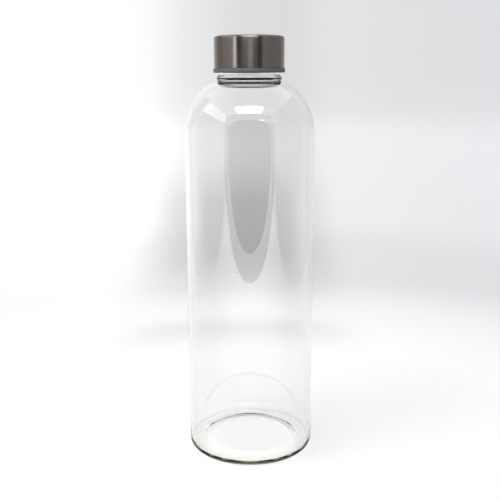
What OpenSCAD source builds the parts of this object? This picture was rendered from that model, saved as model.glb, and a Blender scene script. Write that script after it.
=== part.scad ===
// Glass water bottle with a steel screw cap.
// Millimetres. +Z is up along the bottle's axis, and the origin is the centre of the face it stands on.

/* [Bottle] */
// Outer diameter of the straight body
body_d = 84; // [70:0.5:101]
// Height of the glass, from the table to the lip
glass_h = 270; // [224:0.5:326]
// Thickness of the glass in the walls, the shoulder and the neck
wall_t = 2; // [1.6:0.1:2.4]
// Thickness of the glass floor
base_t = 2.8; // [2.2:0.1:3.4]
// Radius of the rounded heel, outside
heel_r = 4; // [3.2:0.1:4.8]
// Radius of the corner between the wall and the floor, inside
inner_heel_r = 2.5; // [2:0.1:3]
// Width of the flat ring that touches the table
foot_w = 2; // [1.6:0.1:2.4]
// Rise of the floor in the middle, above and below alike
rise_h = 3; // [2.4:0.1:3.6]
// Width of the S-curve by which the floor rises
slope_w = 10; // [8:0.1:12]

/* [Shoulder] */
// Distance from the axis to the centre of the shoulder's lower curve
shoulder_offset = 4; // [2:0.1:6]
// Radius of the shoulder's upper curve
shoulder_top_r = 22; // [18:0.1:26]
// Angle up from the horizontal at which the lower curve hands over to the upper one
shoulder_turn = 45; // [38:1:52]
// Radius of the hollow curve where the shoulder runs into the neck
neck_fillet_r = 3; // [2:0.1:4]

/* [Neck] */
// Outer diameter of the neck between its threads
neck_d = 38.8; // [32:0.1:47]
// Radius of the edges of the lip
lip_r = 0.7; // [0.4:0.1:0.9]
// How far the round bead under the cap stands out from the neck
bead_proud = 1.3; // [0.8:0.1:1.8]
// Radius of the bead's section
bead_r = 1.5; // [1.2:0.1:2]
// Drop from the foot of the straight neck to the middle of the bead
bead_drop = 1; // [0.5:0.1:1.5]

/* [Thread] */
// Rise of the thread in one turn
thread_lead = 4; // [3.4:0.1:5]
// Number of turns of thread on the neck, and in the liner
thread_turns = 1.25; // [1:0.05:1.5]
// Height of the neck's thread above the neck
thread_h = 1; // [0.8:0.05:1.2]
// Width of the neck's thread at its foot
thread_foot_w = 2.2; // [1.8:0.1:2.6]
// Width of the neck's thread at its crest
thread_crest_w = 1; // [0.8:0.1:1.2]
// Width of the liner's thread at its foot
liner_thread_foot_w = 1.6; // [1.3:0.1:1.9]
// Width of the liner's thread at its crest
liner_thread_crest_w = 0.8; // [0.6:0.1:1]
// Drop from the lip to the top end of the neck's thread
thread_drop = 5.5; // [4.6:0.1:6.6]
// Radial gap between a thread's crest and the wall it faces
thread_clearance = 0.3; // [0.25:0.05:0.4]

/* [Cap] */
// Height of the whole cap, from the flange's underside to the steel top
cap_h = 22.15; // [18.4:0.05:26.6]
// Thickness of the steel
shell_t = 0.5; // [0.4:0.05:0.6]
// Radius of the steel's rounded top edge, outside
shell_edge_r = 1.6; // [1.3:0.1:2]
// Radial gap between the steel and the liner's skirt
shell_clearance = 0.1; // [0.05:0.05:0.2]
// Thickness of the liner's skirt
skirt_t = 1; // [0.8:0.1:1.3]
// Thickness of the liner's top
liner_top_t = 1.35; // [1:0.05:1.8]
// Height of the liner's flange, the band under the steel
flange_h = 2.4; // [1.8:0.1:3]
// How far the flange stands out past the steel
flange_proud = 0.5; // [0.3:0.1:0.8]
// Radius of the flange's outer edges
flange_edge_r = 0.4; // [0.2:0.1:0.6]
// Gap between the flange and the foot of the straight neck
neck_gap = 2.5; // [2:0.1:3.5]

/* [Seal] */
// Thickness of the sealing ring
seal_t = 1.9; // [1.5:0.1:2.3]
// How far the sealing ring reaches in past the mouth
seal_overhang = 1.2; // [0.8:0.1:1.6]
// Radius of the sealing ring's edges
seal_edge_r = 0.4; // [0.2:0.1:0.6]
// Gap between the sealing ring and the lip
seal_gap = 0.1; // [0.05:0.05:0.3]
// Gap between the sealing ring's edges and the liner
seal_clearance = 0.3; // [0.2:0.05:0.4]
// Thickness of the rib that holds the ring from inside
rib_t = 1.1; // [0.8:0.1:1.4]
// Height of that rib
rib_h = 1.1; // [0.8:0.1:1.3]

/* [Hidden] */
$fn = 96;

body_r = body_d / 2;
neck_r = neck_d / 2;
mouth_r = neck_r - wall_t;

// The cap is stacked up from the lip
seal_bottom_z = glass_h + seal_gap;
seal_top_z = seal_bottom_z + seal_t;
liner_top_z = seal_top_z + liner_top_t;
cap_top_z = liner_top_z + shell_t;
flange_bottom_z = cap_top_z - cap_h;
flange_top_z = flange_bottom_z + flange_h;

// The cap is stacked outwards from the neck
thread_crest_r = neck_r + thread_h;
liner_crest_r = neck_r + thread_clearance;
liner_bore_r = thread_crest_r + thread_clearance;
skirt_r = liner_bore_r + skirt_t;
shell_inner_r = skirt_r + shell_clearance;
shell_r = shell_inner_r + shell_t;
flange_r = shell_r + flange_proud;
seal_outer_r = liner_bore_r - seal_clearance;
seal_inner_r = mouth_r - seal_overhang;
rib_outer_r = seal_inner_r - seal_clearance;

// Centres of the neck fillet and of the shoulder's two curves, found from the neck downwards
neck_foot_z = flange_bottom_z - neck_gap;
shoulder_low_r = body_r - shoulder_offset;
fillet_x = neck_r + neck_fillet_r;
upper_x = shoulder_offset + (shoulder_low_r - shoulder_top_r) * cos(shoulder_turn);
upper_z = neck_foot_z - sqrt(pow(shoulder_top_r + neck_fillet_r, 2) - pow(fillet_x - upper_x, 2));
shoulder_z = upper_z - (shoulder_low_r - shoulder_top_r) * sin(shoulder_turn);

// How far the shoulder's outlines reach down into the body's
shoulder_lap = 5;

// Edges of the raised floor, below and above. A narrow level ledge is left beside the inner corner
floor_ledge_w = 0.5;
foot_outer_r = body_r - heel_r;
foot_inner_r = foot_outer_r - foot_w;
floor_edge_r = body_r - wall_t - inner_heel_r - floor_ledge_w;

// The S-curve is two equal arcs that meet half way down
rise_turn = 2 * atan(rise_h / slope_w);
rise_bend_r = slope_w / 2 / sin(rise_turn);
rise_sink = 1;

// A thread sinks this far into the wall that carries it, and fades in and out over this angle
thread_sink = 0.4;
thread_fade = 30;
thread_step = 7.5;
neck_thread_z = glass_h - thread_drop - thread_turns * thread_lead;
liner_thread_z = neck_thread_z - thread_lead / 2;

// Half outline between two radii and two heights, with rounded outer corners
module rounded_band(inner_r, outer_r, bottom_z, top_z, corner_r) {
    translate([inner_r, bottom_z + corner_r])
        square([outer_r - inner_r, top_z - bottom_z - 2 * corner_r]);
    translate([inner_r, bottom_z])
        square([outer_r - inner_r - corner_r, top_z - bottom_z]);
    for (corner_z = [bottom_z + corner_r, top_z - corner_r])
        translate([outer_r - corner_r, corner_z])
            circle(corner_r);
}

// Half outline of the straight body, with one rounded corner at the bottom
module body_outline(inset, floor_z, corner_r) {
    side_r = body_r - inset;
    translate([0, floor_z + corner_r])
        square([side_r, shoulder_z - floor_z - corner_r]);
    translate([0, floor_z])
        square([side_r - corner_r, corner_r]);
    translate([side_r - corner_r, floor_z + corner_r])
        circle(corner_r);
}

// Half outline of a floor that is raised in the middle and falls in an S-curve to its edge.
// It reaches below its foot by rise_sink, and its parts overlap, so that it cuts cleanly.
module raised_floor(edge_r) {
    top_r = edge_r - slope_w;
    translate([0, -rise_sink])
        square([top_r, rise_h + rise_sink]);
    // Upper curve
    intersection() {
        translate([top_r, rise_h - rise_bend_r])
            circle(rise_bend_r);
        translate([0, -rise_sink])
            square([edge_r - slope_w / 2, rise_h + rise_sink]);
    }
    // Lower curve
    difference() {
        translate([0, -rise_sink])
            square([edge_r, rise_h / 2 + rise_sink]);
        translate([edge_r, rise_bend_r])
            circle(rise_bend_r);
    }
}

// Half outline of the shoulder, moved in from the outer surface by inset.
// The curves' outlines run down inside the ones below them, so that they join over an area.
module shoulder_outline(inset) {
    low_r = shoulder_low_r - inset;
    top_r = shoulder_top_r - inset;
    hollow_r = neck_fillet_r + inset;
    start_z = shoulder_z - shoulder_lap;
    turn_z = shoulder_z + low_r * sin(shoulder_turn);
    reach = [fillet_x - upper_x, neck_foot_z - upper_z] / (shoulder_top_r + neck_fillet_r);
    // Lower curve, up to the height where the upper one takes over
    intersection() {
        translate([shoulder_offset, shoulder_z])
            circle(low_r);
        translate([0, start_z])
            square([body_r, turn_z - start_z]);
    }
    // Upper curve, kept outside the neck
    intersection() {
        translate([upper_x, upper_z])
            circle(top_r);
        translate([0, start_z])
            square([body_r, neck_foot_z - start_z]);
    }
    // Neck and the hollow curve beside it
    difference() {
        polygon([
            [0, start_z],
            [upper_x, start_z],
            [upper_x + top_r * reach.x, upper_z + top_r * reach.y],
            [fillet_x, neck_foot_z],
            [0, neck_foot_z]
        ]);
        translate([fillet_x, neck_foot_z])
            circle(hollow_r);
    }
}

// Thread that winds up and anticlockwise; crest_r below root_r makes an inward one
module thread_ridge(root_r, crest_r, foot_w, crest_w, start_z) {
    outward = sign(crest_r - root_r);
    steps = ceil(thread_turns * 360 / thread_step);
    corners = 4;
    function section(turned, grown) =
        let (
            tip_r = root_r + (crest_r - root_r) * grown,
            base_r = root_r - outward * thread_sink,
            mid_z = start_z + thread_lead * turned / 360,
            outline = [
                [base_r, mid_z - foot_w / 2],
                [tip_r, mid_z - crest_w / 2],
                [tip_r, mid_z + crest_w / 2],
                [base_r, mid_z + foot_w / 2]
            ]
        )
        [for (k = [0:corners - 1])
            let (p = outline[outward > 0 ? k : corners - 1 - k])
            [p[0] * cos(turned), p[0] * sin(turned), p[1]]];
    points = [for (i = [0:steps])
        let (
            turned = i * thread_turns * 360 / steps,
            left = thread_turns * 360 - turned,
            grown = min(1, turned / thread_fade, left / thread_fade)
        )
        each section(turned, grown)];
    sides = [for (i = [0:steps - 1], k = [0:corners - 1])
        let (
            a = i * corners + k,
            b = i * corners + (k + 1) % corners
        )
        each [[a, b, b + corners], [a, b + corners, a + corners]]];
    last = steps * corners;
    ends = [[3, 2, 1, 0], [last, last + 1, last + 2, last + 3]];
    polyhedron(points = points, faces = concat(sides, ends), convexity = 4);
}

// Clear glass body, shoulder and neck in one piece
module glass_bottle() {
    color([0.86, 0.9, 0.88, 0.4]) {
        rotate_extrude() {
            // Walls and floor
            difference() {
                union() {
                    body_outline(0, 0, heel_r);
                    shoulder_outline(0);
                }
                difference() {
                    body_outline(wall_t, base_t, inner_heel_r);
                    translate([0, base_t])
                        raised_floor(floor_edge_r);
                }
                shoulder_outline(wall_t);
                raised_floor(foot_inner_r);
            }
            // Neck wall with its round-edged lip
            translate([mouth_r, neck_foot_z])
                square([wall_t, glass_h - lip_r - neck_foot_z]);
            translate([mouth_r + lip_r, neck_foot_z])
                square([wall_t - 2 * lip_r, glass_h - neck_foot_z]);
            for (edge_x = [mouth_r + lip_r, neck_r - lip_r])
                translate([edge_x, glass_h - lip_r])
                    circle(lip_r);
            // Bead under the cap
            translate([neck_r + bead_proud - bead_r, neck_foot_z - bead_drop])
                circle(bead_r);
        }
        thread_ridge(neck_r, thread_crest_r, thread_foot_w, thread_crest_w, neck_thread_z);
    }
}

// Deep-drawn steel cup that forms the outside of the cap
module cap_shell() {
    inner_edge_r = shell_edge_r - shell_t;
    color([0.42, 0.41, 0.39])
        rotate_extrude()
            difference() {
                union() {
                    translate([0, flange_top_z])
                        square([shell_r, cap_top_z - shell_edge_r - flange_top_z]);
                    translate([0, flange_top_z])
                        square([shell_r - shell_edge_r, cap_top_z - flange_top_z]);
                    translate([shell_r - shell_edge_r, cap_top_z - shell_edge_r])
                        circle(shell_edge_r);
                }
                translate([0, flange_top_z])
                    square([shell_inner_r, liner_top_z - inner_edge_r - flange_top_z]);
                translate([0, flange_top_z])
                    square([shell_inner_r - inner_edge_r, liner_top_z - flange_top_z]);
                translate([shell_inner_r - inner_edge_r, liner_top_z - inner_edge_r])
                    circle(inner_edge_r);
            }
}

// Moulded liner that carries the thread, with the flange that shows under the steel
module cap_liner() {
    skirt_edge_r = shell_edge_r - shell_t + shell_clearance;
    color([0.5, 0.53, 0.56]) {
        rotate_extrude() {
            difference() {
                union() {
                    rounded_band(0, flange_r, flange_bottom_z, flange_top_z, flange_edge_r);
                    translate([0, flange_top_z])
                        square([skirt_r, liner_top_z - skirt_edge_r - flange_top_z]);
                    translate([0, flange_top_z])
                        square([skirt_r - skirt_edge_r, liner_top_z - flange_top_z]);
                    translate([skirt_r - skirt_edge_r, liner_top_z - skirt_edge_r])
                        circle(skirt_edge_r);
                }
                translate([0, flange_bottom_z])
                    square([liner_bore_r, seal_top_z - flange_bottom_z]);
            }
            translate([rib_outer_r - rib_t, seal_top_z - rib_h])
                square([rib_t, rib_h]);
        }
        thread_ridge(liner_bore_r, liner_crest_r, liner_thread_foot_w, liner_thread_crest_w, liner_thread_z);
    }
}

// Soft ring that the lip presses against
module seal_ring() {
    color([0.9, 0.9, 0.88])
        rotate_extrude()
            rounded_band(seal_inner_r, seal_outer_r, seal_bottom_z, seal_top_z, seal_edge_r);
}

glass_bottle();
cap_shell();
cap_liner();
seal_ring();
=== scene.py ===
# %% [markdown]
# # A glass water bottle with a steel screw cap
# The bottle is four pieces: a blown glass body, a spun steel cup over the cap, the moulded liner
# that carries the cap's thread, and a soft ring that seals the mouth.
# All four are turned shapes, so each is drawn as half an outline and spun round the upright axis.
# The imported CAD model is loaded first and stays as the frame: each finished piece replaces its CAD
# solid and rides on the same body, so it unscrews and lifts exactly as the CAD model does.

# %% Load the frame
from math import atan2, cos, degrees, hypot, radians, sin, sqrt, tau

import bpy
from mathutils import Euler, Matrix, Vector


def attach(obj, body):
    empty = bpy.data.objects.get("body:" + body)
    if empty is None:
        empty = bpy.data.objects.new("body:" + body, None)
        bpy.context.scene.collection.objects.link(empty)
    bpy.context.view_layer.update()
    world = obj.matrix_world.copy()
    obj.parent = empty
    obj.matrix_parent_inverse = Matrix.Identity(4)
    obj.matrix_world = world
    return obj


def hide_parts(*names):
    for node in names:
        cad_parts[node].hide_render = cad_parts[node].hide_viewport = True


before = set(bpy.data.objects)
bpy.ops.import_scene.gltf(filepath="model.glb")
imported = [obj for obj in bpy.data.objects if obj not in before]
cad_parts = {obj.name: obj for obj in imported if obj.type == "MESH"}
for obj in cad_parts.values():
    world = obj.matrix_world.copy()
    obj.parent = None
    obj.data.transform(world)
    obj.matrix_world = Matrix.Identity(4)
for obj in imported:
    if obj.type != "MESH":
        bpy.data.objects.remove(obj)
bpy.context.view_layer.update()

MM = 0.001

# %% [markdown]
# ## Turning an outline
# A lathe shape needs only half an outline: a list of (radius, height) points in millimetres.
# Straight runs need two points, and a curve needs enough points to look round.
# Blender's Screw modifier could spin it, but making the rings directly lets a later step push
# single points outwards, which is how the screw thread is raised out of the neck.


# %% Outline helpers
SAME_POINT = 0.01  # millimetres


def arc(centre, radius, start, end, steps=8):
    """Points on part of a circle, from one angle to another in degrees."""
    points = []
    for i in range(steps + 1):
        angle = radians(start + (end - start) * i / steps)
        points.append((centre[0] + radius * cos(angle), centre[1] + radius * sin(angle)))
    return points


def line(start, end, steps=1):
    """Evenly spaced points from start to end."""
    return [
        (start[0] + (end[0] - start[0]) * i / steps, start[1] + (end[1] - start[1]) * i / steps)
        for i in range(steps + 1)
    ]


def join(*runs):
    """Runs of points put end to end, without points that nearly repeat: a hair-thin ring shades badly."""
    outline = []
    for run in runs:
        for point in run:
            if not outline or hypot(point[0] - outline[-1][0], point[1] - outline[-1][1]) > SAME_POINT:
                outline.append(point)
    return outline


def soften(outline, low, high, rounds):
    """Melts the corners between two heights, by pulling each point between its neighbours."""
    for _ in range(rounds):
        before = list(outline)
        for i in range(1, len(outline) - 1):
            if low < before[i][1] < high:
                outline[i] = tuple(
                    0.5 * before[i][k] + 0.25 * (before[i - 1][k] + before[i + 1][k]) for k in (0, 1)
                )
    return outline


# %% [markdown]
# ### The lathe
# Each point of the outline becomes a ring of points, and neighbouring rings are joined by faces.
# A point on the axis becomes one shared point, so that the faces there close like slices of a pie.


# %% The lathe
ON_AXIS = 1e-6


def turn(name, outline, closed=False, segments=192, push=None):
    """Spins an outline in millimetres round the upright axis.
    push, if given, moves single points outwards, by where they are."""
    verts, rings = [], []
    for radius, height in outline:
        if radius < ON_AXIS:
            rings.append([len(verts)] * segments)
            verts.append((0.0, 0.0, height * MM))
            continue
        rings.append(list(range(len(verts), len(verts) + segments)))
        for s in range(segments):
            angle = tau * s / segments
            r = radius + (push(radius, height, angle) if push else 0.0)
            verts.append((r * cos(angle) * MM, r * sin(angle) * MM, height * MM))
    faces = []
    pairs = list(zip(rings, rings[1:])) + ([(rings[-1], rings[0])] if closed else [])
    for lower, upper in pairs:
        for s in range(segments):
            t = (s + 1) % segments
            corners = [lower[s], lower[t], upper[t], upper[s]]
            face = [c for i, c in enumerate(corners) if c != corners[i - 1]]
            if len(face) > 2:
                faces.append(face)
    mesh = bpy.data.meshes.new(name)
    mesh.from_pydata(verts, [], faces)
    mesh.polygons.foreach_set("use_smooth", [True] * len(mesh.polygons))
    mesh.update()
    piece = bpy.data.objects.new(name, mesh)
    bpy.context.scene.collection.objects.link(piece)
    print(name, len(verts), "points", len(faces), "faces")
    return piece


# %% [markdown]
# ### Taking a solid's place
# Two calls hide the CAD solid that a finished piece stands for and hang the piece on the body it moves with.


# %% Taking a solid's place
def stand_in_for(piece, node, body):
    """The piece takes the place of a CAD node, which is hidden, and moves with its body."""
    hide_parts(node)
    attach(piece, body)
    return piece


# %% [markdown]
# ## The screw thread
# The neck and the liner each have one thread of a turn and a quarter, with ends that fade into
# the wall. A thread could be a separate swept strip, but on blown glass it is one with the neck.
# So the points of the neck's own rings are pushed outwards wherever the helix passes them.

# %% Thread shape
THREAD_LEAD = 4.0  # rise in one turn
THREAD_TURNS = 1.25
THREAD_FADE = 30.0  # degrees over which each end fades in
THREAD_ROWS = 60  # rings in the stretch of neck that holds it


def smooth_step(x):
    """0 below 0, 1 above 1, and a soft S between."""
    x = min(1.0, max(0.0, x))
    return x * x * (3 - 2 * x)


def thread_push(wall, start_z, foot_w, crest_w, height):
    """A push for turn(): the height of the thread at an angle and a height on the wall."""

    def push(radius, z, angle):
        if abs(radius - wall) > SAME_POINT:
            return 0.0
        best = 0.0
        for lap in range(int(THREAD_TURNS) + 1):
            travel = degrees(angle) + 360 * lap
            left = THREAD_TURNS * 360 - travel
            if left < 0:
                continue
            away = abs(z - start_z - THREAD_LEAD * travel / 360)
            rise = smooth_step((foot_w / 2 - away) / (foot_w / 2 - crest_w / 2))
            fade = smooth_step(travel / THREAD_FADE) * smooth_step(left / THREAD_FADE)
            best = max(best, rise * fade)
        return height * best

    return push


# %% [markdown]
# ## The glass
# A blown bottle has a rolled heel, a floor pushed up in the middle, a thin even wall, a round
# shoulder in two curves, a small bead where the shoulder turns into the neck, and a
# fire-polished lip.
# Glass only bends light properly when it is a closed solid with a real wall. A Solidify modifier
# could thicken a skin, but here the floor and the corners have sizes of their own, so the outline
# runs up the outside, over the lip and back down the inside to the middle of the floor.

# %% Sizes of the glass
BODY_R, WALL, HEEL_R = 42.0, 2.0, 4.0
BASE_T, INNER_HEEL_R = 2.8, 2.5
SHOULDER_Z, SHOULDER_TURN = 213.911, 45.0
LOW_C, LOW_R, TOP_R = (4.0, SHOULDER_Z), 38.0, 22.0
TOP_C = arc(LOW_C, LOW_R - TOP_R, SHOULDER_TURN, SHOULDER_TURN, 1)[0]
HOLLOW_C, HOLLOW_R = (22.4, 249.2), 3.0
NECK_R, MOUTH_R, GLASS_H, LIP_R = 19.4, 17.4, 270.0, 0.7
print("glass", 2 * BODY_R, "mm across,", GLASS_H, "mm tall, wall", WALL, "mm")

# %% [markdown]
# ### The bead
# The bead is a full circle in section, sunk into the foot of the neck. Two angles on that circle
# are needed: where it rises out of the hollow curve below it, and where it meets the neck above.

# %% Bead
BEAD_C, BEAD_R = (19.2, 248.2), 1.5
reach = degrees(atan2(HOLLOW_C[1] - TOP_C[1], HOLLOW_C[0] - TOP_C[0]))


def bead_meets(circle_c, circle_r):
    """Angle on the bead where it crosses the hollow curve below it."""
    dx, dz = circle_c[0] - BEAD_C[0], circle_c[1] - BEAD_C[1]
    gap = hypot(dx, dz)
    along = (BEAD_R**2 - circle_r**2 + gap**2) / (2 * gap)
    return degrees(atan2(dz, dx) - atan2(sqrt(BEAD_R**2 - along**2), along))


bead_start = bead_meets(HOLLOW_C, HOLLOW_R)
bead_end = degrees(atan2(sqrt(BEAD_R**2 - (NECK_R - BEAD_C[0]) ** 2), NECK_R - BEAD_C[0]))
bead_low = arc(BEAD_C, BEAD_R, bead_start, bead_start, 1)[0]
hollow_end = degrees(atan2(bead_low[1] - HOLLOW_C[1], bead_low[0] - HOLLOW_C[0]))
print("bead from", round(bead_start), "to", round(bead_end), "degrees on its circle")

# %% [markdown]
# ### The raised floor
# The maker pushes the middle of the floor up, so that the bottle stands on a narrow ring and
# doesn't rock. The slope shows clearly through the glass, as a dark crescent at the back.
# One curve serves both faces of the floor: level in the middle, then an S of two equal arcs.

# %% Raised floor
FOOT_W, RISE_H, SLOPE_W, LEDGE_W = 2.0, 3.0, 10.0, 0.5


def raised_floor(edge, low):
    """From the middle out to the edge, at a height of low there."""
    half_turn = atan2(RISE_H, SLOPE_W)
    bend = SLOPE_W / 2 / sin(2 * half_turn)
    turned = degrees(2 * half_turn)
    top = (edge - SLOPE_W, low + RISE_H)
    return join(
        line((0, top[1]), top, 10),
        arc((top[0], top[1] - bend), bend, 90, 90 - turned, 12),
        arc((edge, low + bend), bend, 270 - turned, 270, 12),
    )


foot_out = BODY_R - HEEL_R
foot_in = foot_out - FOOT_W
inner_corner = (BODY_R - WALL - INNER_HEEL_R, BASE_T + INNER_HEEL_R)
print("stands on a ring from radius", foot_in, "to", foot_out, "mm")

# %% [markdown]
# ### Both faces of the wall
# The inside repeats the outside's curves about the same centres, each smaller or larger by the
# wall. The fine rings on the neck are where the thread will be pushed out.

# %% Outside and inside
THREAD_LOW, THREAD_HIGH = 258.0, 266.5
outside = join(
    raised_floor(foot_in, 0.0),
    line((foot_in, 0), (foot_out, 0), 2),
    arc((foot_out, HEEL_R), HEEL_R, -90, 0, 16),
    line((BODY_R, HEEL_R), (BODY_R, SHOULDER_Z), 30),
    arc(LOW_C, LOW_R, 0, SHOULDER_TURN, 32),
    arc(TOP_C, TOP_R, SHOULDER_TURN, reach, 20),
    arc(HOLLOW_C, HOLLOW_R, reach - 180, hollow_end, 8),
    arc(BEAD_C, BEAD_R, bead_start, bead_end, 16),
    line((NECK_R, BEAD_C[1] + BEAD_R), (NECK_R, THREAD_LOW), 12),
    line((NECK_R, THREAD_LOW), (NECK_R, THREAD_HIGH), THREAD_ROWS),
    line((NECK_R, THREAD_HIGH), (NECK_R, GLASS_H - LIP_R), 4),
)
inside = join(
    arc((NECK_R - LIP_R, GLASS_H - LIP_R), LIP_R, 0, 90, 6),
    arc((MOUTH_R + LIP_R, GLASS_H - LIP_R), LIP_R, 90, 180, 6),
    line((MOUTH_R, GLASS_H - LIP_R), (MOUTH_R, HOLLOW_C[1]), 12),
    arc(HOLLOW_C, HOLLOW_R + WALL, 180, reach + 180, 16),
    arc(TOP_C, TOP_R - WALL, reach, SHOULDER_TURN, 20),
    arc(LOW_C, LOW_R - WALL, SHOULDER_TURN, 0, 32),
    line((BODY_R - WALL, SHOULDER_Z), (BODY_R - WALL, inner_corner[1]), 30),
    arc(inner_corner, INNER_HEEL_R, 0, -90, 16),
    list(reversed(raised_floor(inner_corner[0] - LEDGE_W, BASE_T))),
)
print("outline:", len(outside), "points outside,", len(inside), "inside")

# %% [markdown]
# ### Turning the glass
# Molten glass has no sharp corners, so the bead's two corners are melted a little first.
# The glass gets more rings of points than the cap, because each facet would show in its edge.

# %% Turn the glass
MELT_LOW, MELT_HIGH, MELT_ROUNDS = 246.4, 251.0, 3
NECK_THREAD_Z, NECK_THREAD_FOOT, NECK_THREAD_CREST, NECK_THREAD_H = 259.5, 2.2, 1.0, 1.0
GLASS_SEGMENTS = 256
glass = turn(
    "glass_body",
    join(soften(outside, MELT_LOW, MELT_HIGH, MELT_ROUNDS), inside),
    segments=GLASS_SEGMENTS,
    push=thread_push(NECK_R, NECK_THREAD_Z, NECK_THREAD_FOOT, NECK_THREAD_CREST, NECK_THREAD_H),
)
stand_in_for(glass, "glass_bottle", "bottle")

# %% [markdown]
# ## The steel cup
# The cap's outside is a cup pressed and spun from thin stainless sheet. Its crown is flat, its top
# edge rolls over in a small curve, and its lower rim sits on the liner's collar.
# A cylinder with a bevel would do for the outside alone. A closed outline also gives the sheet its
# thickness, which shows at the rim when the cap is lifted: it goes up the outside, over the crown
# to the axis, and back down the inside.

# %% Cup outline
CUP_R, CUP_T, CUP_LOW, CUP_TOP, CUP_EDGE = 22.3, 0.5, 254.1, 273.85, 1.6
RIM_R = 0.15
edge_c = (CUP_R - CUP_EDGE, CUP_TOP - CUP_EDGE)
cup_outline = join(
    arc((CUP_R - RIM_R, CUP_LOW + RIM_R), RIM_R, -90, 0, 4),
    line((CUP_R, CUP_LOW + RIM_R), (CUP_R, edge_c[1]), 12),
    arc(edge_c, CUP_EDGE, 0, 90, 14),
    line((edge_c[0], CUP_TOP), (0, CUP_TOP), 12),
    line((0, CUP_TOP - CUP_T), (edge_c[0], CUP_TOP - CUP_T), 8),
    arc(edge_c, CUP_EDGE - CUP_T, 90, 0, 10),
    line((CUP_R - CUP_T, edge_c[1]), (CUP_R - CUP_T, CUP_LOW + RIM_R), 8),
    arc((CUP_R - CUP_T + RIM_R, CUP_LOW + RIM_R), RIM_R, 180, 270, 4),
)
cup = turn("steel_cup", cup_outline, closed=True)
stand_in_for(cup, "cap_shell", "cap")

# %% [markdown]
# ## The liner
# The liner is injection moulded: a skirt with the thread inside, a collar that shows below the
# steel, a roof, and a low rib that locates the seal.
# Every outer corner has a small radius, as a mould gives, which is what catches the light.
# The thread could be cut with a Boolean modifier; pushing the bore's own rings inwards is cleaner.

# %% Liner outline
SKIRT_IN, SKIRT_OUT, COLLAR_R = 20.7, 21.7, 22.8
COLLAR_LOW, COLLAR_TOP, ROOF_LOW, ROOF_TOP = 251.7, 254.1, 272.0, 273.35
RIB_IN, RIB_OUT, RIB_LOW = 14.8, 15.9, 270.9
COLLAR_EDGE, BORE_EDGE, ROOF_EDGE, RIB_EDGE = 0.4, 0.3, 0.9, 0.2
BORE_THREAD_LOW, BORE_THREAD_HIGH, BORE_THREAD_ROWS = 255.5, 265.0, 56
liner_outline = join(
    arc((SKIRT_IN + BORE_EDGE, COLLAR_LOW + BORE_EDGE), BORE_EDGE, 180, 270, 5),
    arc((COLLAR_R - COLLAR_EDGE, COLLAR_LOW + COLLAR_EDGE), COLLAR_EDGE, -90, 0, 8),
    arc((COLLAR_R - COLLAR_EDGE, COLLAR_TOP - COLLAR_EDGE), COLLAR_EDGE, 0, 90, 8),
    line((SKIRT_OUT, COLLAR_TOP), (SKIRT_OUT, ROOF_TOP - BORE_EDGE), 8),
    arc((SKIRT_OUT - ROOF_EDGE, ROOF_TOP - ROOF_EDGE), ROOF_EDGE, 0, 90, 6),
    line((SKIRT_OUT - ROOF_EDGE, ROOF_TOP), (0, ROOF_TOP), 6),
    line((0, ROOF_LOW), (RIB_IN, ROOF_LOW), 6),
    line((RIB_IN, ROOF_LOW), (RIB_IN, RIB_LOW + RIB_EDGE), 2),
    arc((RIB_IN + RIB_EDGE, RIB_LOW + RIB_EDGE), RIB_EDGE, 180, 270, 4),
    arc((RIB_OUT - RIB_EDGE, RIB_LOW + RIB_EDGE), RIB_EDGE, -90, 0, 4),
    line((RIB_OUT, RIB_LOW + RIB_EDGE), (RIB_OUT, ROOF_LOW), 2),
    line((RIB_OUT, ROOF_LOW), (SKIRT_IN, ROOF_LOW), 4),
    line((SKIRT_IN, ROOF_LOW), (SKIRT_IN, BORE_THREAD_HIGH), 6),
    line((SKIRT_IN, BORE_THREAD_HIGH), (SKIRT_IN, BORE_THREAD_LOW), BORE_THREAD_ROWS),
    line((SKIRT_IN, BORE_THREAD_LOW), (SKIRT_IN, COLLAR_LOW + BORE_EDGE), 6),
)

# %% Turn the liner
BORE_THREAD_Z, BORE_THREAD_FOOT, BORE_THREAD_CREST, BORE_THREAD_H = 257.5, 1.6, 0.8, -1.0
liner = turn(
    "cap_liner_moulding",
    liner_outline,
    closed=True,
    push=thread_push(SKIRT_IN, BORE_THREAD_Z, BORE_THREAD_FOOT, BORE_THREAD_CREST, BORE_THREAD_H),
)
stand_in_for(liner, "cap_liner", "cap")

# %% [markdown]
# ## The seal
# A flat ring of silicone lies under the roof. It is soft, so its corners are well rounded.
# A torus squashed flat would lose the level faces that do the sealing, so it is turned too.

# %% Seal outline
SEAL_IN, SEAL_OUT, SEAL_LOW, SEAL_TOP, SEAL_EDGE = 16.2, 20.4, 270.1, 272.0, 0.4
seal_outline = join(
    arc((SEAL_IN + SEAL_EDGE, SEAL_LOW + SEAL_EDGE), SEAL_EDGE, 180, 270, 6),
    arc((SEAL_OUT - SEAL_EDGE, SEAL_LOW + SEAL_EDGE), SEAL_EDGE, -90, 0, 6),
    arc((SEAL_OUT - SEAL_EDGE, SEAL_TOP - SEAL_EDGE), SEAL_EDGE, 0, 90, 6),
    arc((SEAL_IN + SEAL_EDGE, SEAL_TOP - SEAL_EDGE), SEAL_EDGE, 90, 180, 6),
)
seal = turn("seal_washer", seal_outline, closed=True)
stand_in_for(seal, "seal_ring", "seal")

# %% [markdown]
# ## Sharp corners
# Smooth shading would smear light round a true corner, such as the cup's rim. Faces that meet at
# more than a set angle keep their edge. The glass is left smooth all over, as melted glass is.

# %% Sharp corners keep their edge
CORNER_ANGLES = ((cup, 50), (liner, 40), (seal, 50))
for piece, corner in CORNER_ANGLES:
    piece.data.set_sharp_from_angle(angle=radians(corner))
    print(piece.name, "keeps corners over", corner, "degrees")

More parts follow.
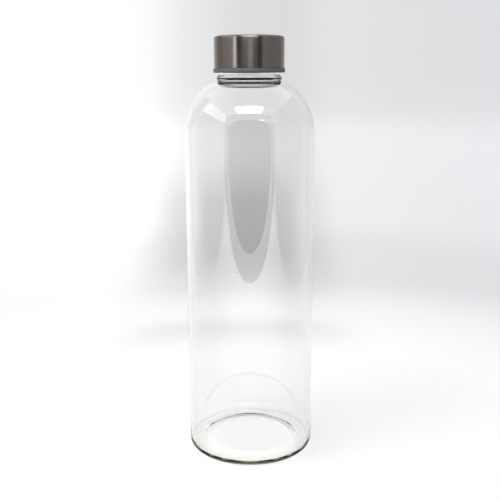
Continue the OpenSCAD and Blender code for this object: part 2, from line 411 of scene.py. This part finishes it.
# %% [markdown]
# ## Making materials
# A material is a small graph of nodes. Typing every link is long, so one helper sets a node's
# sockets: a number or a colour is typed in, and another node's output is wired in.
# Numbers that are the same all over a surface stay typed on the shader itself.


# %% Node helpers
class Finish:
    """A new node material, with short ways to add and wire its nodes."""

    def __init__(self, name):
        self.material = bpy.data.materials.new(name)
        self.material.use_nodes = True
        self.tree = self.material.node_tree
        self.tree.nodes.clear()
        self.output = self.tree.nodes.new("ShaderNodeOutputMaterial")

    def node(self, kind, settings=None, **sockets):
        """Adds a node. Socket names are written with _ for a space, and inN is socket number N."""
        new = self.tree.nodes.new("ShaderNode" + kind)
        for key, value in (settings or {}).items():
            setattr(new, key, value)
        for key, value in sockets.items():
            place = int(key[2:]) if key[:2] == "in" and key[2:].isdigit() else key.replace("_", " ")
            if isinstance(value, bpy.types.NodeSocket):
                self.tree.links.new(value, new.inputs[place])
            else:
                new.inputs[place].default_value = value
        return new

    def math(self, operation, a, b=0.0, clamp=False):
        """One sum on two values."""
        step = self.node("Math", {"operation": operation, "use_clamp": clamp}, in0=a, in1=b)
        return step.outputs[0]

    def noise(self, where, scale, detail=3.0, rough=0.5):
        """Soft random blotches, from 0 to 1."""
        return self.node("TexNoise", Vector=where, Scale=scale, Detail=detail, Roughness=rough).outputs[0]

    def ramp(self, value, low, high, start, end):
        """Maps a value to the range from low to high."""
        step = self.node("MapRange", Value=value, in1=start, in2=end, in3=low, in4=high)
        return step.outputs[0]

    def blend(self, factor, first, second):
        """One colour turning into another."""
        step = self.node("MixRGB", Fac=factor, Color1=(*first, 1), Color2=(*second, 1))
        return step.outputs[0]

    def curve(self, value, *stops):
        """A value that runs smoothly through (place, value) stops. Values stay between 0 and 1."""
        step = self.node("ValToRGB", Fac=value)
        step.color_ramp.interpolation = "EASE"
        while len(step.color_ramp.elements) < len(stops):
            step.color_ramp.elements.new(1.0)
        for element, (place, level) in zip(step.color_ramp.elements, stops):
            element.position = place
            element.color = (level, level, level, 1)
        return step.outputs[0]

    def bump(self, height, strength, distance):
        """Fine relief that only the light sees."""
        return self.node("Bump", Height=height, Strength=strength, Distance=distance).outputs[0]

    def surface(self, shader):
        """What light meets on the piece."""
        self.tree.links.new(shader, self.output.inputs["Surface"])

    def place(self):
        """Where a point is on its piece: the place itself, x, y, z and the distance from the axis."""
        where = self.node("TexCoord").outputs["Object"]
        parts = self.node("SeparateXYZ", Vector=where)
        x, y, z = parts.outputs[0], parts.outputs[1], parts.outputs[2]
        squares = self.math("ADD", self.math("MULTIPLY", x, x), self.math("MULTIPLY", y, y))
        return where, x, y, z, self.math("SQRT", squares)

    def put_on(self, piece):
        piece.data.materials.clear()
        piece.data.materials.append(self.material)
        print(self.material.name, "on", piece.name, "with", len(self.tree.nodes), "nodes")


# %% [markdown]
# ## Clear glass
# Borosilicate glass is almost colourless, but seen along its length, in the base and down the
# walls, it turns a faint olive grey. That comes from light lost inside it, so it is a volume.
# The surface is a clean mirror, so its roughness is zero, and yet it is never quite flat: a blown
# bottle ripples a little, mostly up and down, and wiping leaves faint marks in how much it lets
# through. A Glass shader would do, but the Principled one is used.

# %% Glass finish
glass_finish = Finish("clear_glass_blown")
where = glass_finish.node("TexCoord").outputs["Object"]
stretched = glass_finish.node("Mapping", Vector=where, Scale=(1, 1, 0.35)).outputs[0]
ripple = glass_finish.noise(stretched, 28.0, 2.0, 0.4)
wipe = glass_finish.noise(where, 60.0, 5.0, 0.6)
glass_shader = glass_finish.node(
    "BsdfPrincipled",
    Base_Color=glass_finish.blend(wipe, (0.985, 0.99, 0.985), (1.0, 1.0, 1.0)),
    Roughness=0.0,
    IOR=1.47,
    Transmission_Weight=1.0,
    Normal=glass_finish.bump(ripple, 0.05, 0.0002),
)
glass_finish.surface(glass_shader.outputs[0])
tint = glass_finish.node("VolumeAbsorption", Color=(0.52, 0.56, 0.42, 1.0), Density=16.0)
glass_finish.tree.links.new(tint.outputs[0], glass_finish.output.inputs["Volume"])
glass_finish.put_on(glass)

# %% [markdown]
# ## Brushed steel
# The cup is brushed while it spins, so its fine scratches run round the side and in rings on the
# crown. Scratches spread a highlight across themselves, which draws upright streaks of light.
# One number, height minus radius, grows steadily up the side and then in over the crown, so the
# same stretched noise gives both sets of scratches.

# %% Steel finish
steel_finish = Finish("brushed_steel")
where, x, y, z, radius = steel_finish.place()
across = steel_finish.math("MULTIPLY", steel_finish.math("SUBTRACT", z, radius), 60.0)
scratch_space = steel_finish.node("CombineXYZ", X=x, Y=y, Z=across).outputs[0]
scratches = steel_finish.noise(scratch_space, 90.0, 4.0, 0.65)
fine = steel_finish.noise(scratch_space, 320.0, 3.0, 0.6)
patches = steel_finish.noise(where, 70.0, 3.0, 0.5)
both = steel_finish.math(
    "ADD", steel_finish.math("MULTIPLY", scratches, 0.6), steel_finish.math("MULTIPLY", fine, 0.4)
)
ring_way = steel_finish.node("Tangent", {"direction_type": "RADIAL", "axis": "Z"}).outputs[0]
steel_shader = steel_finish.node(
    "BsdfPrincipled",
    Base_Color=steel_finish.blend(both, (0.32, 0.298, 0.284), (0.50, 0.47, 0.452)),
    Metallic=1.0,
    Roughness=steel_finish.ramp(patches, 0.28, 0.34, 0.3, 0.7),
    Anisotropic=0.95,
    Anisotropic_Rotation=0.25,
    Tangent=ring_way,
    Normal=steel_finish.bump(both, 0.25, 0.00005),
)
steel_finish.surface(steel_shader.outputs[0])
steel_finish.put_on(cup)

# %% [markdown]
# ## Liner plastic
# The collar is frosted polypropylene with the dull skin of a spark-eroded mould. Its dark slate grey is painted
# shade: it stands for the shadow the collar sits in.
# A little light goes into it, and its grey varies softly from place to place.

# %% Liner finish
liner_finish = Finish("painted_shade_plastic")
where = liner_finish.node("TexCoord").outputs["Object"]
cloud = liner_finish.noise(where, 120.0, 4.0, 0.6)
grain = liner_finish.noise(where, 2600.0, 2.0, 0.5)
liner_shader = liner_finish.node(
    "BsdfPrincipled",
    # the dark grey base colour is painted shade, for the shadow the collar sits in
    Base_Color=liner_finish.blend(cloud, (0.175, 0.188, 0.198), (0.235, 0.25, 0.262)),
    Roughness=liner_finish.ramp(grain, 0.38, 0.55, 0.3, 0.7),
    Subsurface_Weight=0.12,
    Subsurface_Scale=0.002,
    Normal=liner_finish.bump(grain, 0.25, 0.00004),
)
liner_finish.surface(liner_shader.outputs[0])
liner_finish.put_on(liner)

# %% [markdown]
# ## Silicone
# Food-grade silicone is milky and slightly see-through, with a dull, dust-catching skin.

# %% Seal finish
seal_finish = Finish("milky_silicone")
where = seal_finish.node("TexCoord").outputs["Object"]
milk = seal_finish.noise(where, 200.0, 3.0, 0.6)
skin = seal_finish.noise(where, 1500.0, 3.0, 0.6)
seal_shader = seal_finish.node(
    "BsdfPrincipled",
    Base_Color=seal_finish.blend(milk, (0.74, 0.76, 0.76), (0.86, 0.87, 0.87)),
    Roughness=seal_finish.ramp(skin, 0.42, 0.6, 0.3, 0.7),
    Subsurface_Weight=0.4,
    Subsurface_Scale=0.003,
    Normal=seal_finish.bump(skin, 0.2, 0.00006),
)
seal_finish.surface(seal_shader.outputs[0])
seal_finish.put_on(seal)

# %% [markdown]
# ## The studio
# Glass shows little of itself: it shows the room, bent and mirrored. So the room is built with
# care. The bottle stands on white paper that lies flat as a floor and sweeps up into a wall.
# A flat sheet behind the bottle would do for one view; a bowl of paper serves every side.

# %% Floor and wall
FLOOR_R, WALL_R, WALL_H = 420.0, 750.0, 1000.0
FLOOR_Z = -0.1  # a hair below the glass, so that the two faces never coincide
SWEEP_R = WALL_R - FLOOR_R
bowl = turn(
    "studio_bowl",
    join(
        line((0, FLOOR_Z), (FLOOR_R, FLOOR_Z), 16),
        arc((FLOOR_R, SWEEP_R + FLOOR_Z), SWEEP_R, -90, 0, 24),
        line((WALL_R, SWEEP_R), (WALL_R, WALL_H), 10),
    ),
    segments=128,
)

# %% [markdown]
# ### The glow of the wall
# Lamps on paper never light it evenly: it is whitest on the left, a little cooler and dimmer on
# the right, with a soft grey patch behind the bottle. Many lamps could be placed to do that.
# It is surer to let the paper give off its own light, and to shape that light by place.
# Up the wall a point is found by its way along the paper: distance from the middle plus height.

# %% Glow of the wall
FRONT_LEVEL, WALL_STRENGTH, PATCH_X = 0.835, 1.12, -0.015
paper = Finish("studio_paper")
_, x, y, z, radius = paper.place()
along = paper.math("ADD", radius, z)
rear = paper.ramp(y, 0.0, 1.0, 0.1, 0.4)
from_left = paper.ramp(x, 0.0, 1.0, -0.5, 0.5)
side = paper.curve(
    from_left, (0.0, 1.0), (0.30, 1.0), (0.40, 0.96), (0.50, 0.90), (0.63, 0.875), (0.80, 0.86), (1.0, 0.86)
)
# The glow dips in a soft band where the floor turns up into the wall, and again high on the wall: painted
# shade.
band = paper.curve(
    along,
    *((0.0, 1.0), (0.20, 1.0), (0.31, 0.935), (0.43, 0.90), (0.545, 0.905)),
    *((0.66, 0.955), (0.86, 0.965), (0.95, 0.905), (1.0, 0.90)),
)
off_patch = paper.math("ABSOLUTE", paper.math("ADD", x, -PATCH_X))
patch_wide = paper.curve(off_patch, (0.0, 1.0), (0.06, 0.95), (0.15, 0.0))
patch_deep = paper.curve(
    along, (0.17, 0.0), (0.24, 0.24), (0.30, 0.03), (0.42, 0.10), (0.54, 0.18), (0.66, 0.20), (0.84, 0.06)
)
patch = paper.math("MULTIPLY", patch_wide, patch_deep)
rear_level = paper.math("MULTIPLY", paper.math("MULTIPLY", side, band), paper.math("SUBTRACT", 1.0, patch))
front_level = paper.math("MULTIPLY", paper.math("SUBTRACT", 1.0, rear), FRONT_LEVEL)
level = paper.math("ADD", paper.math("MULTIPLY", rear, rear_level), front_level)
wall_glow = paper.node(
    "Emission",
    Color=paper.blend(from_left, (1.0, 1.0, 1.0), (0.975, 0.985, 1.0)),
    Strength=paper.math("MULTIPLY", level, WALL_STRENGTH),
)
print("wall glow: strength", WALL_STRENGTH, "behind,", FRONT_LEVEL * WALL_STRENGTH, "in front")

# %% [markdown]
# ### The glow of the floor
# The floor glows too, and more in front of the bottle and under it, where its light enters the
# glass. A fifth of it is plain paper, which takes the lamp's soft shadow. Between floor and wall
# one shader fades into the other, so that no line shows.

# %% Glow of the floor
TABLE_LEVEL, FRONT_EXTRA, UNDER_EXTRA, GLOW_SHARE = 0.98, 0.7, 0.25, 0.8
in_front = paper.ramp(y, 1.0, 0.0, -0.28, -0.09)
under = paper.ramp(radius, 1.0, 0.0, 0.028, 0.045)
extra = paper.math(
    "ADD", paper.math("MULTIPLY", in_front, FRONT_EXTRA), paper.math("MULTIPLY", under, UNDER_EXTRA)
)
# The grey patch behind the bottle is painted into the floor's glow as well: painted shade.
table_patch = paper.math("SUBTRACT", 1.0, paper.math("MULTIPLY", rear, patch))
table_glow = paper.node(
    "Emission",
    Color=(1.0, 1.0, 1.0, 1),
    Strength=paper.math("MULTIPLY", paper.math("ADD", extra, TABLE_LEVEL), table_patch),
)
plain = paper.node("BsdfDiffuse", Color=(0.88, 0.88, 0.885, 1))
table = paper.node("MixShader", in0=GLOW_SHARE, in1=plain.outputs[0], in2=table_glow.outputs[0])
wall_part = paper.math(
    "MULTIPLY", paper.ramp(radius, 0.0, 1.0, 0.22, 0.46), paper.ramp(y, 0.0, 1.0, -0.44, -0.10)
)
paper.surface(paper.node("MixShader", in0=wall_part, in1=table.outputs[0], in2=wall_glow.outputs[0]).outputs[0])
paper.put_on(bowl)
paper.material.cycles.emission_sampling = "NONE"

# %% [markdown]
# ## The light box
# A product like this is usually lit in a white box with an open front. The open front is dark,
# and it is what draws the long dark shape down the middle of the glass and the cap.
# Here the box is there only for reflections: other rays pass through it, so every side of the
# bottle still stands against the pale wall.
# The cap gets a few cards of its own, as is often done in a studio. They are told apart from the
# rest by the kind of ray: a ray off clear glass is perfectly sharp, and one off brushed metal
# is not.


# %% A panel that mirrors see
def panel(name, corners, brightness, brushed_only=False):
    """A flat panel that only mirrors see, or only brushed metal and not clear glass."""
    mesh = bpy.data.meshes.new(name)
    mesh.from_pydata(corners, [], [(0, 1, 2, 3)])
    board = bpy.data.objects.new(name, mesh)
    bpy.context.scene.collection.objects.link(board)
    finish = Finish(name)
    mirrored = finish.math("MINIMUM", finish.node("LightPath").outputs["Glossy Depth"], 1.0)
    if brushed_only:
        sharp = finish.node("LightPath").outputs["Is Singular Ray"]
        mirrored = finish.math("MULTIPLY", mirrored, finish.math("SUBTRACT", 1.0, sharp))
    lit = finish.node("Emission", Color=(1.0, 1.0, 1.0, 1), Strength=brightness).outputs[0]
    clear = finish.node("BsdfTransparent").outputs[0]
    finish.surface(finish.node("MixShader", in0=mirrored, in1=clear, in2=lit).outputs[0])
    finish.put_on(board)
    finish.material.cycles.emission_sampling = "NONE"
    board.visible_camera = False
    board.visible_shadow = False
    board.visible_diffuse = False
    return board


def upright(x0, y0, x1, y1, z0, z1):
    """Corners of an upright panel between two points on the floor."""
    return [(x0, y0, z0), (x1, y1, z0), (x1, y1, z1), (x0, y0, z1)]


def level_panel(x0, x1, y0, y1, z):
    """Corners of a level panel."""
    return [(x0, y0, z), (x1, y0, z), (x1, y1, z), (x0, y1, z)]


# %% [markdown]
# ### The box
# Each wall has a lower and an upper panel, because the straight body mirrors the lower half of
# the box and the shoulder mirrors the upper half. A brighter strip high on the left wall lights
# the left of the shoulder. The lamp in the roof gives the clean white patch on the shoulder, and
# a small bright spot beside the opening gives the glint under it.

# %% Walls, roof and opening
BOX_X, BOX_FRONT, BOX_BACK, BOX_H, BOX_MID = 0.45, -0.48, 0.35, 0.62, 0.24
LEFT_SPLIT = -0.38  # where the left wall's lower panel is cut in two
STEP = 0.001  # panels that overlap stand this far in front of each other
BOX_PANELS = {
    "left_low": (upright(-BOX_X, LEFT_SPLIT, -BOX_X, BOX_BACK, 0, BOX_MID), 0.8),
    "left_high": (upright(-BOX_X, BOX_FRONT, -BOX_X, BOX_BACK, BOX_MID, BOX_H), 0.75),
    "left_top": (upright(-BOX_X + 2 * STEP, -0.44, -BOX_X + 2 * STEP, 0.1, 0.44, 0.61), 2.0),
    "left_strip_low": (upright(-BOX_X, BOX_FRONT, -BOX_X, LEFT_SPLIT, 0, BOX_MID), 0.8),
    "right_low": (upright(BOX_X, BOX_FRONT, BOX_X, BOX_BACK, 0, BOX_MID), 0.7),
    "right_high": (upright(BOX_X, BOX_FRONT, BOX_X, BOX_BACK, BOX_MID, BOX_H), 0.75),
    "top": (level_panel(-BOX_X, BOX_X, BOX_FRONT, BOX_BACK, BOX_H), 1.2),
    "top_lamp": (level_panel(-0.2, 0.2, BOX_FRONT, -0.30, BOX_H - 3 * STEP), 10.0),
    "front": (upright(-BOX_X, BOX_FRONT, BOX_X, BOX_FRONT, 0, BOX_H), 0.04),
    "front_high": (upright(-BOX_X, BOX_FRONT + STEP, BOX_X, BOX_FRONT + STEP, 0.25, 0.5), 0.06),
    "front_spot": (upright(0.16, BOX_FRONT + 3 * STEP, 0.24, BOX_FRONT + 3 * STEP, 0.452, 0.474), 5.0),
}
for place, (corners, brightness) in BOX_PANELS.items():
    panel("box_" + place, corners, brightness)

# %% [markdown]
# ### The cap's cards
# Brushed steel smears a light up and down but not sideways, so each card draws one upright
# streak: a bright one at the left corner of the box and a dim one in the middle, with the dark
# opening on both sides of it.

# %% Cards for the cap
CARD_LOW, CARD_HIGH = 0.2, 0.45
CARD_Y = BOX_FRONT + 4 * STEP
CAP_CARDS = {
    "left": (upright(-BOX_X + STEP, BOX_FRONT, -BOX_X + STEP, LEFT_SPLIT, CARD_LOW, CARD_HIGH), 3.6),
    "corner": (upright(-BOX_X, CARD_Y, -0.4, CARD_Y, CARD_LOW, CARD_HIGH), 2.0),
    "middle": (upright(-0.045, CARD_Y, 0.095, CARD_Y, CARD_LOW, CARD_HIGH), 0.85),
}
for place, (corners, brightness) in CAP_CARDS.items():
    panel("cap_card_" + place, corners, brightness, brushed_only=True)

# %% [markdown]
# ## The lamp
# The paper does most of the lighting. Beyond it there is only a pale room, and one broad lamp
# high on the left, which gives the floor its soft shadow. A sun would make the shadow hard.
# The lamp's own shape would spoil the reflections, so mirrors don't see it.

# %% Lamp and room
ROOM_COLOUR, ROOM_STRENGTH = (0.95, 0.97, 1.0, 1), 1.0
LAMP_AT, LAMP_AIM, LAMP_SIZE, LAMP_WATTS = Vector((-0.55, -0.25, 0.85)), Vector((0, 0, 0.1)), 0.5, 5.0
world = bpy.data.worlds.new("pale_room")
bpy.context.scene.world = world
world.use_nodes = True
world.node_tree.nodes["Background"].inputs["Color"].default_value = ROOM_COLOUR
world.node_tree.nodes["Background"].inputs["Strength"].default_value = ROOM_STRENGTH

lamp_data = bpy.data.lights.new("soft_lamp", "AREA")
lamp_data.shape = "DISK"
lamp_data.size = LAMP_SIZE
lamp_data.energy = LAMP_WATTS
lamp = bpy.data.objects.new("soft_lamp", lamp_data)
lamp.location = LAMP_AT
lamp.rotation_euler = (LAMP_AIM - lamp.location).to_track_quat("-Z", "Y").to_euler()
lamp.visible_camera = False
lamp.visible_glossy = False
bpy.context.scene.collection.objects.link(lamp)
print("lamp", LAMP_WATTS, "W,", round((LAMP_AIM - LAMP_AT).length, 3), "m from the bottle")

# %% [markdown]
# ## The camera
# It stands half a metre in front, just under the height of the cap, and looks a little down, so
# the near edge of the base curves one way and the neck hardly at all. A longer lens from
# further off would flatten that curve away.

# %% Camera
CAMERA_AT = Vector((0.00045, -0.4971, 0.24755))
CAMERA_DOWN, CAMERA_ROLL, LENS_MM, SENSOR_MM = 12.64, 0.2, 54.86, 36.0
camera_data = bpy.data.cameras.new("camera")
camera_data.lens = LENS_MM
camera_data.sensor_width = SENSOR_MM
camera_data.dof.use_dof = False
camera = bpy.data.objects.new("camera", camera_data)
camera.location = CAMERA_AT
camera.rotation_euler = Euler((radians(90 - CAMERA_DOWN), radians(CAMERA_ROLL), 0), "XYZ")
bpy.context.scene.collection.objects.link(camera)
bpy.context.scene.camera = camera
print("camera", [round(c, 3) for c in CAMERA_AT], "m,", LENS_MM, "mm lens")

# %% [markdown]
# ## The film
# Clear glass on white has little contrast of its own, so the film is a hard one: a gamma below
# one deepens the greys, while white stays white. The finishes are made lighter to allow for it.
# A ray may cross a glass wall many times before it gets out, so it is given many bounces.

# %% Film
FILM_GAMMA, GLASS_BOUNCES, MIRROR_BOUNCES = 0.52, 24, 16
scene = bpy.context.scene
scene.view_settings.view_transform = "Standard"
scene.view_settings.look = "None"
scene.view_settings.gamma = FILM_GAMMA
scene.cycles.max_bounces = GLASS_BOUNCES
scene.cycles.transmission_bounces = GLASS_BOUNCES
scene.cycles.glossy_bounces = MIRROR_BOUNCES
scene.cycles.transparent_max_bounces = GLASS_BOUNCES
print("film gamma", FILM_GAMMA)

# %% [markdown]
# ## Finish

# %% Update the scene
bpy.context.view_layer.update()
